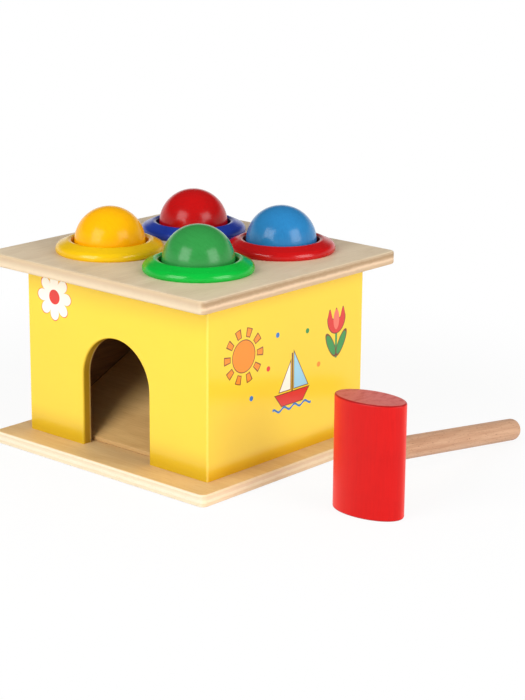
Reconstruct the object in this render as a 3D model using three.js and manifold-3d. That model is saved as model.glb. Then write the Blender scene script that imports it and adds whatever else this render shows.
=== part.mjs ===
// Ball pounding toy: a plywood box whose lid holds four balls in plastic collars.
// A ball that is knocked through its collar lands on a ramp and rolls out of the arched door.
// A mallet stands beside the box.
// Millimetres, +Z up. The origin lies on the base board's underside, below the middle of the walls.
// -Y is the door side.
import * as THREE from 'three';
import { mergeVertices } from 'three/addons/utils/BufferGeometryUtils.js';
import Module from 'manifold-3d';

// Balls and collars
const BALL_DIAMETER = 32;
const BALL_RISE = 4.2; // centre of a resting ball above the lid
const BORE_CLEARANCE = 0.5; // ball to the collar's bore, on the radius
const COLLAR_RISE = 5.6; // collar's crown above the lid
const COLLAR_EDGE = 0.9; // height of the collar's widest circle above the lid
const FLANGE_WIDTH = 5.6; // collar's flange, outside its sleeve
const FLANGE_UNDERCUT = 0.4; // how far the flange draws in where it meets the lid
const MOUTH_FLARE = 0.9; // how far the bore opens up to the collar's mouth
const CROWN_WIDTH = 1.6; // from the collar's mouth out to its highest circle
const CROWN_DROP = 0.4; // collar's mouth below its highest circle
const SLOPE_BULGE = 1; // how far the collar's outer slope bows up
const SLEEVE_WALL = 1.2;
const SLEEVE_BELOW = 2; // sleeve below the lid's underside
const GRIP_DEPTH = 3; // tongues' upper face below the lid's top
const GRIP_WALL = 0.9; // rim of the grip ring
const TONGUE_THICKNESS = 1.2;
const TONGUE_SLITS = 8;
const SLIT_WIDTH = 0.8;
const SLIT_ROOT = 0.6; // tongue left uncut beside the rim
const COLLAR_GAP = 5.5; // between neighbouring collars

// Box
const TOP_THICKNESS = 6;
const BASE_THICKNESS = 5.7;
const WALL_THICKNESS = 5;
const WALL_HEIGHT = 78.3;
const SIDE_MARGIN = 4.05; // lid's holes to the side walls
const END_MARGIN = 0.3; // lid's holes to the front and back walls
const TOP_SIDE_OVERHANG = 11;
const TOP_FRONT_OVERHANG = 14.8;
const TOP_BACK_OVERHANG = 9.8;
const BASE_SIDE_OVERHANG = 10;
const BASE_FRONT_OVERHANG = 13.3;
const BASE_BACK_OVERHANG = 8.2;
const BOARD_CORNER = 3; // corner radius of the lid and the base, seen from above
const BOARD_EASE = 0.7; // broken edges of the lid and the base
const WALL_EASE = 0.5; // broken edges of the walls
const DOOR_CLEARANCE = 4.6; // ball to the door's sides
const DOOR_SPRING = 32.2; // height of the door's straight sides

// Ramp
const RAMP_SLOPE = THREE.MathUtils.degToRad(25);
const RAMP_THICKNESS = 2;
const RAMP_SETBACK = 2.3; // ramp's lower end behind the front wall
const RAMP_SIDE_GAP = 1; // ramp to the side walls
const LEDGER_WIDTH = 6;
const LEDGER_HEIGHT = 8;

// Brads that hold the walls to the base
const BRAD_DIAMETER = 1.4;
const BRAD_HEAD_DIAMETER = 3;
const BRAD_HEAD_THICKNESS = 0.8;
const BRAD_LENGTH = 16;
const BRAD_POINT = 2;
const BRAD_END_INSET = 14; // from a wall's end to its brad

// Mallet
const HEAD_WIDTH = 33.6;
const HEAD_DEPTH = 19; // along the handle
const HEAD_HEIGHT = 50.1;
const HEAD_EASE = 0.8;
const HANDLE_DIAMETER = 10;
const HANDLE_REACH = 121.5; // from the head's centre line to where the handle's end starts to round off
const HANDLE_DOME = 3; // rounded end
const HANDLE_STOP = 4; // wood left in front of the handle's blind hole
const HANDLE_HEIGHT = 25.6; // handle's centre line where it crosses the head's centre line
const MALLET_GAP = 36.1; // base board's edge to the head
const MALLET_BACK = -20.7; // head's centre, along Y
const MALLET_TURN = THREE.MathUtils.degToRad(5.4); // handle's direction, from +Y

// Clearances and facets
const FIT_GAP = 0.3; // between pieces that fit into one another
const FLOOR_GAP = 0.3; // below the handle's end
const ROUND_SEGMENTS = 36;
const HANDLE_SEGMENTS = 24;
const PIN_SEGMENTS = 12;
const CORNER_STEPS = 4;
const DOME_STEPS = 6;
const BALL_SEGMENTS = 24;
const BALL_RINGS = 16;
const MERGE_DISTANCE = 1e-4; // points closer than this are one point
const CUT_MARGIN = 1; // how far a cutting tool runs past the face that it opens

// Sizes that follow from the values above
const ballRadius = BALL_DIAMETER / 2;
const boreRadius = ballRadius + BORE_CLEARANCE;
const gripRadius = boreRadius + GRIP_WALL;
const seatRadius = gripRadius + FIT_GAP;
const sleeveRadius = seatRadius + SLEEVE_WALL;
const holeRadius = sleeveRadius + FIT_GAP;
const flangeRadius = sleeveRadius + FLANGE_WIDTH;
const pitch = 2 * flangeRadius + COLLAR_GAP;
const innerWidth = pitch + 2 * (holeRadius + SIDE_MARGIN);
const innerDepth = pitch + 2 * (holeRadius + END_MARGIN);
const bodyWidth = innerWidth + 2 * WALL_THICKNESS;
const bodyDepth = innerDepth + 2 * WALL_THICKNESS;
const topWidth = bodyWidth + 2 * TOP_SIDE_OVERHANG;
const topFront = bodyDepth / 2 + TOP_FRONT_OVERHANG;
const topBack = bodyDepth / 2 + TOP_BACK_OVERHANG;
const baseWidth = bodyWidth + 2 * BASE_SIDE_OVERHANG;
const baseFront = bodyDepth / 2 + BASE_FRONT_OVERHANG;
const baseBack = bodyDepth / 2 + BASE_BACK_OVERHANG;
const lidBottom = BASE_THICKNESS + WALL_HEIGHT;
const lidTop = lidBottom + TOP_THICKNESS;
const sleeveBottom = -TOP_THICKNESS - SLEEVE_BELOW;
const tongueRadius = Math.sqrt((ballRadius + FIT_GAP) ** 2 - (BALL_RISE + GRIP_DEPTH) ** 2);
const handleRadius = HANDLE_DIAMETER / 2;
const malletX = baseWidth / 2 + MALLET_GAP + HEAD_WIDTH / 2;
// The handle slopes down from the head until its end lies on the floor.
const handleSlope =
  Math.asin((HANDLE_HEIGHT - FLOOR_GAP) / Math.hypot(HANDLE_REACH, handleRadius)) -
  Math.atan2(handleRadius, HANDLE_REACH);

const corners = [
  { name: 'front_left', x: -1, y: -1, collarColor: '#f2c31f', ballColor: '#f6a81c' },
  { name: 'back_left', x: -1, y: 1, collarColor: '#2744b8', ballColor: '#c9141a' },
  { name: 'back_right', x: 1, y: 1, collarColor: '#cf1c22', ballColor: '#2f86c4' },
  { name: 'front_right', x: 1, y: -1, collarColor: '#0fc244', ballColor: '#2f9c4a' },
];

const wasm = await Module();
wasm.setup();

// Boolean cuts

function toSolid(geometry) {
  const bare = geometry.clone();
  bare.deleteAttribute('normal');
  bare.deleteAttribute('uv');
  const merged = mergeVertices(bare, MERGE_DISTANCE);
  const vertProperties = new Float32Array(merged.attributes.position.array);
  const triVerts = new Uint32Array(merged.index.array);
  return new wasm.Manifold(new wasm.Mesh({ numProp: 3, vertProperties, triVerts }));
}

function toGeometry(solid) {
  const mesh = solid.getMesh();
  const geometry = new THREE.BufferGeometry();
  geometry.setAttribute('position', new THREE.BufferAttribute(new Float32Array(mesh.vertProperties), 3));
  geometry.setIndex(new THREE.BufferAttribute(new Uint32Array(mesh.triVerts), 1));
  geometry.computeVertexNormals();
  return geometry;
}

function cut(geometry, tools) {
  const left = tools.reduce((solid, tool) => solid.subtract(toSolid(tool)), toSolid(geometry));
  return toGeometry(left);
}

// Shapes

// A flat piece from z = 0 up to its thickness, with broken edges.
function board(shape, thickness, ease) {
  return new THREE.ExtrudeGeometry(shape, {
    depth: thickness - 2 * ease,
    bevelThickness: ease,
    bevelSize: ease,
    bevelOffset: -ease,
    bevelSegments: 1,
    curveSegments: ROUND_SEGMENTS / 2,
  }).translate(0, 0, ease);
}

function rectangle(width, height) {
  const shape = new THREE.Shape();
  shape.moveTo(-width / 2, 0);
  shape.lineTo(width / 2, 0);
  shape.lineTo(width / 2, height);
  shape.lineTo(-width / 2, height);
  shape.closePath();
  return shape;
}

// An outline from -front to back along Y, with rounded corners.
function roundedRectangle(width, front, back, radius) {
  const points = [];
  for (let quarter = 0; quarter < 4; quarter += 1) {
    const middle = ((2 * quarter + 1) * Math.PI) / 4;
    const x = (width / 2 - radius) * Math.sign(Math.cos(middle));
    const y = Math.sin(middle) > 0 ? back - radius : radius - front;
    for (let step = 0; step <= CORNER_STEPS; step += 1) {
      const angle = ((quarter + step / CORNER_STEPS) * Math.PI) / 2;
      points.push(new THREE.Vector2(x + radius * Math.cos(angle), y + radius * Math.sin(angle)));
    }
  }
  return new THREE.Shape(points);
}

// Stands a board drawn in X and Z upright, its thickness running from y towards +Y.
function faceFront(geometry, y, thickness) {
  const turn = new THREE.Matrix4().makeBasis(
    new THREE.Vector3(1, 0, 0),
    new THREE.Vector3(0, 0, 1),
    new THREE.Vector3(0, -1, 0),
  );
  return geometry.applyMatrix4(turn).translate(0, y + thickness, BASE_THICKNESS);
}

// Turns an outline drawn in Y and Z across the toy, its thickness running from x towards +X.
function acrossX(geometry, x) {
  const turn = new THREE.Matrix4().makeBasis(
    new THREE.Vector3(0, 1, 0),
    new THREE.Vector3(0, 0, 1),
    new THREE.Vector3(1, 0, 0),
  );
  return geometry.applyMatrix4(turn).translate(x, 0, 0);
}

// A ring or a pin turned about +Z from an outline of radius and height.
function turned(outline, segments = ROUND_SEGMENTS) {
  const points = outline.map(([radius, height]) => new THREE.Vector2(radius, height));
  return new THREE.LatheGeometry(points, segments).rotateX(Math.PI / 2);
}

// Places of the brads: two under each wall, on the middle of its thickness

const alongFront = bodyWidth / 2 - BRAD_END_INSET;
const alongSide = innerDepth / 2 - BRAD_END_INSET;
const frontLine = bodyDepth / 2 - WALL_THICKNESS / 2;
const sideLine = bodyWidth / 2 - WALL_THICKNESS / 2;
const bradPlaces = [-1, 1].flatMap((side) =>
  [-1, 1].flatMap((end) => [
    [end * alongFront, side * frontLine],
    [side * sideLine, end * alongSide],
  ]),
);

function bradHoles() {
  return bradPlaces.flatMap(([x, y]) => {
    const shankRadius = BRAD_DIAMETER / 2 + FIT_GAP;
    const headRadius = BRAD_HEAD_DIAMETER / 2 + FIT_GAP;
    const headTop = BRAD_HEAD_THICKNESS + 2 * FIT_GAP;
    const shankTop = BRAD_LENGTH + 2 * FIT_GAP;
    const shankLength = shankTop + CUT_MARGIN;
    const headLength = headTop + CUT_MARGIN;
    const shank = new THREE.CylinderGeometry(shankRadius, shankRadius, shankLength, PIN_SEGMENTS);
    shank.rotateX(Math.PI / 2).translate(x, y, (shankTop - CUT_MARGIN) / 2);
    const head = new THREE.CylinderGeometry(headRadius, headRadius, headLength, PIN_SEGMENTS);
    head.rotateX(Math.PI / 2).translate(x, y, (headTop - CUT_MARGIN) / 2);
    return [shank, head];
  });
}

// Pieces of the box

function baseBoard() {
  const outline = roundedRectangle(baseWidth, baseFront, baseBack, BOARD_CORNER);
  return cut(board(outline, BASE_THICKNESS, BOARD_EASE), bradHoles());
}

function topBoard() {
  const outline = roundedRectangle(topWidth, topFront, topBack, BOARD_CORNER);
  for (const corner of corners) {
    const hole = new THREE.Path();
    hole.absarc((corner.x * pitch) / 2, (corner.y * pitch) / 2, holeRadius, 0, 2 * Math.PI, true);
    outline.holes.push(hole);
  }
  return board(outline, TOP_THICKNESS, BOARD_EASE).translate(0, 0, lidBottom);
}

function doorOutline() {
  const half = ballRadius + DOOR_CLEARANCE;
  const shape = new THREE.Shape();
  shape.moveTo(-bodyWidth / 2, 0);
  shape.lineTo(-half, 0);
  shape.lineTo(-half, DOOR_SPRING);
  shape.absarc(0, DOOR_SPRING, half, Math.PI, 0, true);
  shape.lineTo(half, 0);
  shape.lineTo(bodyWidth / 2, 0);
  shape.lineTo(bodyWidth / 2, WALL_HEIGHT);
  shape.lineTo(-bodyWidth / 2, WALL_HEIGHT);
  shape.closePath();
  return shape;
}

function frontWall() {
  const wall = board(doorOutline(), WALL_THICKNESS, WALL_EASE);
  return cut(faceFront(wall, -bodyDepth / 2, WALL_THICKNESS), bradHoles());
}

function backWall() {
  const wall = board(rectangle(bodyWidth, WALL_HEIGHT), WALL_THICKNESS, WALL_EASE);
  return cut(faceFront(wall, bodyDepth / 2 - WALL_THICKNESS, WALL_THICKNESS), bradHoles());
}

function sideWall(x) {
  const wall = board(rectangle(innerDepth, WALL_HEIGHT), WALL_THICKNESS, WALL_EASE);
  return cut(acrossX(wall, x).translate(0, 0, BASE_THICKNESS), bradHoles());
}

// The ramp's underside rises from the base, close behind the door, to the back wall.
const rampFront = -innerDepth / 2 + RAMP_SETBACK;
const rampBack = innerDepth / 2 - FIT_GAP;
const rampWidth = innerWidth - 2 * RAMP_SIDE_GAP;
const rampUnder = (y) => BASE_THICKNESS + (y - rampFront) * Math.tan(RAMP_SLOPE);

function slantedBar(front, back, underFront, underBack, rise, width) {
  const shape = new THREE.Shape();
  shape.moveTo(front, underFront);
  shape.lineTo(back, underBack);
  shape.lineTo(back, rampUnder(back) + rise);
  shape.lineTo(front, rampUnder(front) + rise);
  shape.closePath();
  const bar = new THREE.ExtrudeGeometry(shape, { depth: width, bevelEnabled: false });
  return acrossX(bar, -width / 2);
}

function rampBoard() {
  const rise = RAMP_THICKNESS / Math.cos(RAMP_SLOPE);
  return slantedBar(rampFront, rampBack, rampUnder(rampFront), rampUnder(rampBack), rise, rampWidth);
}

// A strip glued to the back wall carries the ramp's upper end.
function rampLedger() {
  const back = innerDepth / 2;
  const front = back - LEDGER_WIDTH;
  const bottom = rampUnder(back) - LEDGER_HEIGHT;
  return slantedBar(front, back, bottom, bottom, -FIT_GAP, rampWidth);
}

function brad() {
  const radius = BRAD_DIAMETER / 2;
  const headRadius = BRAD_HEAD_DIAMETER / 2;
  const headTop = FIT_GAP + BRAD_HEAD_THICKNESS;
  return turned([
    [0, FIT_GAP],
    [headRadius, FIT_GAP],
    [headRadius, headTop],
    [radius, headTop],
    [radius, BRAD_LENGTH - BRAD_POINT],
    [0, BRAD_LENGTH],
  ], PIN_SEGMENTS);
}

// Collars, grip rings and balls, with heights from the lid's top

function collar() {
  const mouthRadius = boreRadius + MOUTH_FLARE;
  const crownRadius = mouthRadius + CROWN_WIDTH;
  const slopeRadius = (flangeRadius + crownRadius) / 2;
  const slopeHeight = (COLLAR_EDGE + COLLAR_RISE) / 2 + SLOPE_BULGE;
  return turned([
    [boreRadius, -GRIP_DEPTH],
    [seatRadius, -GRIP_DEPTH],
    [seatRadius, sleeveBottom],
    [sleeveRadius, sleeveBottom],
    [sleeveRadius, 0],
    [flangeRadius - FLANGE_UNDERCUT, 0],
    [flangeRadius, COLLAR_EDGE],
    [slopeRadius, slopeHeight],
    [crownRadius, COLLAR_RISE],
    [mouthRadius, COLLAR_RISE - CROWN_DROP],
    [boreRadius, 0],
    [boreRadius, -GRIP_DEPTH],
  ]);
}

// A soft ring inside the collar: a rim, and a crown of tongues that carries the ball.
function gripRing() {
  const rimBottom = sleeveBottom + FIT_GAP;
  const ring = turned([
    [tongueRadius, -GRIP_DEPTH - TONGUE_THICKNESS],
    [boreRadius, -GRIP_DEPTH - TONGUE_THICKNESS],
    [boreRadius, rimBottom],
    [gripRadius, rimBottom],
    [gripRadius, -GRIP_DEPTH],
    [tongueRadius, -GRIP_DEPTH],
    [tongueRadius, -GRIP_DEPTH - TONGUE_THICKNESS],
  ]);
  const slitReach = boreRadius - SLIT_ROOT;
  const slits = [];
  for (let i = 0; i < TONGUE_SLITS / 2; i += 1) {
    const slit = new THREE.BoxGeometry(2 * slitReach, SLIT_WIDTH, TONGUE_THICKNESS + 2 * CUT_MARGIN);
    slit.rotateZ((2 * i * Math.PI) / TONGUE_SLITS);
    slits.push(slit.translate(0, 0, -GRIP_DEPTH - TONGUE_THICKNESS / 2));
  }
  return cut(ring, slits);
}

function ball() {
  return new THREE.SphereGeometry(ballRadius, BALL_SEGMENTS, BALL_RINGS).rotateX(Math.PI / 2);
}

// Mallet, standing on its head's end with the handle behind it

const handleStart = (HEAD_DEPTH / 2 - HANDLE_STOP) / Math.cos(handleSlope);

// Lays a piece turned about +Z along the handle's line.
function alongHandle(geometry, start) {
  return geometry
    .translate(0, 0, start)
    .rotateX(-Math.PI / 2 - handleSlope)
    .translate(0, 0, HANDLE_HEIGHT);
}

function malletHandle() {
  const outline = [[0, 0], [handleRadius, 0]];
  const length = handleStart + HANDLE_REACH;
  for (let step = 0; step < DOME_STEPS; step += 1) {
    const angle = (step * Math.PI) / (2 * DOME_STEPS);
    outline.push([handleRadius * Math.cos(angle), length + HANDLE_DOME * Math.sin(angle)]);
  }
  outline.push([0, length + HANDLE_DOME]);
  return alongHandle(turned(outline, HANDLE_SEGMENTS), -handleStart);
}

function malletHead() {
  const oval = new THREE.Shape();
  oval.absellipse(0, 0, HEAD_WIDTH / 2, HEAD_DEPTH / 2, 0, 2 * Math.PI);
  const head = board(oval, HEAD_HEIGHT, HEAD_EASE);
  const holeDepth = handleStart + FIT_GAP;
  const radius = handleRadius + FIT_GAP;
  const length = holeDepth + HEAD_DEPTH;
  const hole = turned([[0, 0], [radius, 0], [radius, length], [0, length]], HANDLE_SEGMENTS);
  return cut(head, [alongHandle(hole, -holeDepth)]);
}

// Assembly

const toy = new THREE.Group();

function place(parent, name, geometry, finish) {
  const mesh = new THREE.Mesh(geometry, new THREE.MeshStandardMaterial(finish));
  mesh.name = name;
  parent.add(mesh);
  return mesh;
}

const lidBirch = { color: '#d3c19d', roughness: 0.6 };
const warmBirch = { color: '#dcb680', roughness: 0.6 };
const yellowPaint = { color: '#f4cd3c', roughness: 0.35 };
const steel = { color: '#9a9a9c', roughness: 0.35, metalness: 1 };
const redPaint = { color: '#dc2420', roughness: 0.4 };
const beech = { color: '#cfa577', roughness: 0.6 };
const plastic = (color) => ({ color, roughness: 0.2 });
const softPlastic = (color) => ({ color, roughness: 0.4 });
const lacquer = (color) => ({ color, roughness: 0.25 });

place(toy, 'base_board', baseBoard(), warmBirch);
place(toy, 'top_board', topBoard(), lidBirch);
place(toy, 'front_wall', frontWall(), yellowPaint);
place(toy, 'back_wall', backWall(), yellowPaint);
place(toy, 'left_wall', sideWall(-bodyWidth / 2), yellowPaint);
place(toy, 'right_wall', sideWall(innerWidth / 2), yellowPaint);
place(toy, 'ramp_board', rampBoard(), warmBirch);
place(toy, 'ramp_ledger', rampLedger(), warmBirch);

bradPlaces.forEach(([x, y], i) => {
  place(toy, `base_brad_${i + 1}`, brad(), steel).position.set(x, y, 0);
});

for (const { name, x, y, collarColor, ballColor } of corners) {
  const station = new THREE.Group();
  station.position.set((x * pitch) / 2, (y * pitch) / 2, lidTop);
  toy.add(station);
  place(station, `collar_${name}`, collar(), plastic(collarColor));
  place(station, `grip_ring_${name}`, gripRing(), softPlastic(collarColor));
  place(station, `ball_${name}`, ball(), lacquer(ballColor)).position.z = BALL_RISE;
}

const mallet = new THREE.Group();
mallet.position.set(malletX, MALLET_BACK, 0);
mallet.rotation.z = MALLET_TURN;
toy.add(mallet);
place(mallet, 'mallet_head', malletHead(), redPaint);
place(mallet, 'mallet_handle', malletHandle(), beech);

export default toy;
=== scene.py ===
import math

import bmesh
import bpy
import numpy as np
from mathutils import Matrix, Vector


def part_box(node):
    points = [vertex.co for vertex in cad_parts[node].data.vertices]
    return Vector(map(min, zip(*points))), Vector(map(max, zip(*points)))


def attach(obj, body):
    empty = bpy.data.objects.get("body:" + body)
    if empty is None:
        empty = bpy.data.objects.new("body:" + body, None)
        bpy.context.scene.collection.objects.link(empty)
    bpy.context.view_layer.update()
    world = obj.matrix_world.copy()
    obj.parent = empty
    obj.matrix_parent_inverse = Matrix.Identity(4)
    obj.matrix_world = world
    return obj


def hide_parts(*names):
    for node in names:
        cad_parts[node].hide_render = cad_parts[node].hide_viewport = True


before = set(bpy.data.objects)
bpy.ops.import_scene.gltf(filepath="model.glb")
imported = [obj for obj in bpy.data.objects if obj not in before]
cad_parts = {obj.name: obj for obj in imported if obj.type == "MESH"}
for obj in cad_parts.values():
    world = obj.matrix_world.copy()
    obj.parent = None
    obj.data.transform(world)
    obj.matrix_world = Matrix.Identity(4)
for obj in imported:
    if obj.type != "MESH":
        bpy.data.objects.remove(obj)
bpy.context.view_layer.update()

mm = 0.001
mergeGap = 0.002 * mm  # points closer than this are one
touch = 0.01 * mm  # a point this close to a plane lies on it
corners = ("front_left", "back_left", "back_right", "front_right")


# Middle of a CAD node's box
def middleOf(node):
    low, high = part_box(node)
    return (low + high) / 2


# Size of a CAD node's box along x, y and z
def sizeOf(node):
    low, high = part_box(node)
    return high - low


# Quads between neighbouring points of a grid; a wrapped direction joins its last line to its first
def gridQuads(rows, cols, wrapRows, wrapCols):
    lastRow = rows if wrapRows else rows - 1
    lastCol = cols if wrapCols else cols - 1
    r, c = np.meshgrid(np.arange(lastRow), np.arange(lastCol), indexing="ij")
    rNext = (r + 1) % rows
    cNext = (c + 1) % cols
    quads = [r * cols + c, r * cols + cNext, rNext * cols + cNext, rNext * cols + c]
    return np.stack(quads, -1).reshape(-1, 4)


# One object from point grids: equal points merge, and faces turn outwards or, on an open sheet, to facing
def makePiece(name, grids, facing=None):
    points = []
    quads = []
    count = 0
    for grid, wrapRows, wrapCols in grids:
        rows, cols = grid.shape[:2]
        points.append(grid.reshape(-1, 3))
        quads.append(gridQuads(rows, cols, wrapRows, wrapCols) + count)
        count += rows * cols
    mesh = bpy.data.meshes.new(name)
    mesh.from_pydata(np.concatenate(points).tolist(), [], np.concatenate(quads).tolist())
    shell = bmesh.new()
    shell.from_mesh(mesh)
    bmesh.ops.remove_doubles(shell, verts=shell.verts, dist=mergeGap)
    bmesh.ops.recalc_face_normals(shell, faces=shell.faces)
    if facing and sum((f.normal for f in shell.faces), Vector()).dot(facing) < 0:
        bmesh.ops.reverse_faces(shell, faces=shell.faces)
    shell.to_mesh(mesh)
    shell.free()
    mesh.shade_smooth()
    piece = bpy.data.objects.new(name, mesh)
    bpy.context.scene.collection.objects.link(piece)
    return piece


# Turns a piece's modifiers into plain mesh
def applyModifiers(piece):
    graph = bpy.context.evaluated_depsgraph_get()
    done = bpy.data.meshes.new_from_object(piece.evaluated_get(graph), depsgraph=graph)
    piece.modifiers.clear()
    piece.data = done


# A flat sheet gets its thickness behind its face, its square edges on both planes are rounded, then cutters
# bite. The foot and top of an upright board butt on other boards, so they stay nearly square
def thicken(piece, axis, face, back, faceEase, backEase, cutters=()):
    wall = piece.modifiers.new("thickness", "SOLIDIFY")
    wall.thickness = abs(face - back)
    wall.offset = -1
    applyModifiers(piece)
    places = np.empty(3 * len(piece.data.vertices), np.float32)
    piece.data.vertices.foreach_get("co", places)
    heights = places[2::3]
    butted = [] if axis == 2 else [heights.min(), heights.max()]
    easeEdges(piece, axis, face, faceEase, butted)
    easeEdges(piece, axis, back, backEase, butted)
    for end in butted:
        easeEdges(piece, 2, end, backEase)
    cutOut(piece, cutters)


# Rounds the square edges that lie where the axis coordinate is at, but not level ones at a butted height
def easeEdges(piece, axis, at, ease, butted=()):
    shell = bmesh.new()
    shell.from_mesh(piece.data)
    square = [e for e in shell.edges if e.calc_face_angle(0) > 1]
    square = [e for e in square if all(abs(v.co[axis] - at) < touch for v in e.verts)]
    for end in butted:
        square = [e for e in square if any(abs(v.co.z - end) > touch for v in e.verts)]
    quarterRound = {"segments": 4, "profile": 0.5, "affect": "EDGES", "clamp_overlap": True}
    bmesh.ops.bevel(shell, geom=square, offset=ease, **quarterRound)
    shell.to_mesh(piece.data)
    shell.free()


# Takes closed cutters out of a piece, then weighs its normals so that flat faces stay flat beside round edges
def cutOut(piece, cutters=()):
    for cutter in cutters:
        bite = piece.modifiers.new("bite", "BOOLEAN")
        bite.operation = "DIFFERENCE"
        bite.solver = "EXACT"
        bite.object = cutter
    piece.data.shade_smooth()
    even = piece.modifiers.new("flat faces", "WEIGHTED_NORMAL")
    even.weight = 100
    applyModifiers(piece)


# Joins a finished piece to its body and finish, in place of CAD nodes; the record slot is not used
def settle(piece, body, slot, finish, *nodes):
    piece.data.materials.clear()
    piece.data.materials.append(finish)
    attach(piece, body)
    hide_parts(*nodes)


# Corner list with each corner swapped for an arc that touches both sides at radius / tan(half its angle)
def roundCorners(points, radii, steps=6, closed=True):
    points = np.asarray(points, float)
    radii = np.broadcast_to(radii, len(points))
    before = np.roll(points, 1, 0)
    after = np.roll(points, -1, 0)
    out = []
    for p, a, b, radius, i in zip(points, before, after, radii, range(len(points))):
        if radius == 0 or (not closed and i in (0, len(points) - 1)):
            out.append(p[None])
            continue
        toA = (a - p) / np.linalg.norm(a - p)
        toB = (b - p) / np.linalg.norm(b - p)
        half = np.arccos(np.clip(toA @ toB, -1, 1)) / 2
        middle = p + (toA + toB) / np.linalg.norm(toA + toB) * radius / np.sin(half)
        start = p + toA * radius / np.tan(half) - middle
        end = p + toB * radius / np.tan(half) - middle
        share = np.linspace(0, 1, steps + 1)[:, None]
        spoke = start * (1 - share) + end * share
        out.append(middle + radius * spoke / np.linalg.norm(spoke, axis=1, keepdims=True))
    return np.concatenate(out)


# A profile of (radius, height) carried round a vertical line through centre
def turnProfile(profile, centre, steps):
    angle = np.linspace(0, 2 * np.pi, steps, endpoint=False)
    radius = profile[:, :1]
    height = profile[:, 1:] + 0 * angle
    return np.stack([radius * np.cos(angle), radius * np.sin(angle), height], -1) + np.array(centre)


# A closed section carried along rows of places and shut at both ends by a row drawn into its middle
def shutEnds(rows):
    first = rows[:1].mean(1, keepdims=True) + 0 * rows[:1]
    last = rows[-1:].mean(1, keepdims=True) + 0 * rows[-1:]
    return np.concatenate([first, rows, last])


# Straight runs between corner points, each split into equal steps; the last point is left for the next run
def splitRuns(points, steps):
    points = np.asarray(points, float)
    share = np.arange(steps)[:, None] / steps
    runs = [a * (1 - share) + b * share for a, b in zip(points[:-1], points[1:])]
    return np.concatenate(runs)


# Flat sheet ruled between two outlines with as many points, lifted to 3-D by place(a, b)
def ruledSheet(inner, outer, rows, place):
    share = np.linspace(0, 1, rows)[:, None, None]
    flat = inner * (1 - share) + outer * share
    return place(flat[..., 0], flat[..., 1])


# One socket of a shader tree, so that shader sums read as plain expressions
class Wire:
    def __init__(self, tree, socket=None):
        self.tree = tree
        self.socket = socket

    # Any node: settings first, then the values or links of its sockets; gives one of its outputs
    def add(self, kind, settings=None, sockets=None, out=0):
        node = self.tree.nodes.new("ShaderNode" + kind)
        for key, value in (settings or {}).items():
            if key == "stops":
                while len(node.color_ramp.elements) < len(value):
                    node.color_ramp.elements.new(1)
                for element, (at, colour) in zip(node.color_ramp.elements, value):
                    element.position = at
                    element.color = colour
            else:
                setattr(node, key, value)
        for key, value in (sockets or {}).items():
            if isinstance(value, Wire):
                self.tree.links.new(value.socket, node.inputs[key])
            else:
                node.inputs[key].default_value = value
        return Wire(self.tree, node.outputs[out])

    # One Math node on numbers or wires
    def maths(self, operation, *values):
        return self.add("Math", {"operation": operation}, dict(enumerate(values)))

    def __add__(self, other):
        return self.maths("ADD", self, other)

    def __sub__(self, other):
        return self.maths("SUBTRACT", self, other)

    def __rsub__(self, other):
        return self.maths("SUBTRACT", other, self)

    def __mul__(self, other):
        return self.maths("MULTIPLY", self, other)

    def __truediv__(self, other):
        return self.maths("DIVIDE", self, other)

    __radd__ = __add__
    __rmul__ = __mul__

    def least(self, other):
        return self.maths("MINIMUM", self, other)

    def most(self, other):
        return self.maths("MAXIMUM", self, other)

    def size(self):
        return self.maths("ABSOLUTE", self)

    # 0 below low, 1 above high, an even curve between; low may be the larger one
    def rise(self, low, high):
        stops = {"Value": self, "From Min": low, "From Max": high}
        return self.add("MapRange", {"interpolation_type": "SMOOTHSTEP"}, stops)

    # Object coordinates in millimetres about a point, stretched by a factor on each axis
    def coords(self, stretch=(1, 1, 1), about=(0, 0, 0), turn=(0, 0, 0)):
        place = self.add("TexCoord", out="Object")
        moved = self.add("VectorMath", {"operation": "SUBTRACT"}, {0: place, 1: tuple(about)})
        scale = tuple(s / mm for s in stretch)
        turned = self.add("VectorRotate", {"rotation_type": "EULER_XYZ"}, {"Vector": moved, "Rotation": turn})
        return self.add("VectorMath", {"operation": "MULTIPLY"}, {0: turned, 1: scale})

    # Soft noise about 0.5; its size is set by the stretch of its coordinates
    def noise(self, vector, detail=2, roughness=0.5, distortion=0):
        sockets = {"Vector": vector, "Scale": 1, "Detail": detail}
        sockets.update({"Roughness": roughness, "Distortion": distortion})
        return self.add("TexNoise", {}, sockets)

    # One of a vector's three numbers
    def part(self, vector, axis):
        return self.add("SeparateXYZ", {}, {0: vector}, axis)

    # Colour a where share is 0, colour b where it is 1
    def blend(self, a, b, share):
        return self.add("Mix", {"data_type": "RGBA"}, {0: share, 6: a, 7: b}, 2)

    # A normal tilted as if the surface rose by height times distance
    def bump(self, height, distance, strength):
        return self.add("Bump", {}, {"Height": height, "Distance": distance, "Strength": strength})


# A colour given as it shows on screen, 0 to 255, turned into Blender's linear values
def tint(red, green, blue):
    shown = np.array([red, green, blue]) / 255
    linear = np.where(shown <= 0.04045, shown / 12.92, ((shown + 0.055) / 1.055) ** 2.4)
    return (*linear.tolist(), 1)


# A new material: constants go on the shader's own sockets, and its wires start from the Wire given back
def startFinish(name, **fixed):
    material = bpy.data.materials.new(name)
    material.use_nodes = True
    shader = material.node_tree.nodes["Principled BSDF"]
    for socket, value in fixed.items():
        shader.inputs[socket.replace("_", " ")].default_value = value
    return material, Wire(material.node_tree), shader


# Feeds a finish with its colour, its roughness and a bump of height times depth in mm
def joinShader(wire, shader, skin, rough, height, depth, strength):
    normal = wire.bump(height, depth * mm, strength)
    for socket, value in {"Base Color": skin, "Roughness": rough, "Normal": normal}.items():
        wire.tree.links.new(value.socket, shader.inputs[socket])


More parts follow.
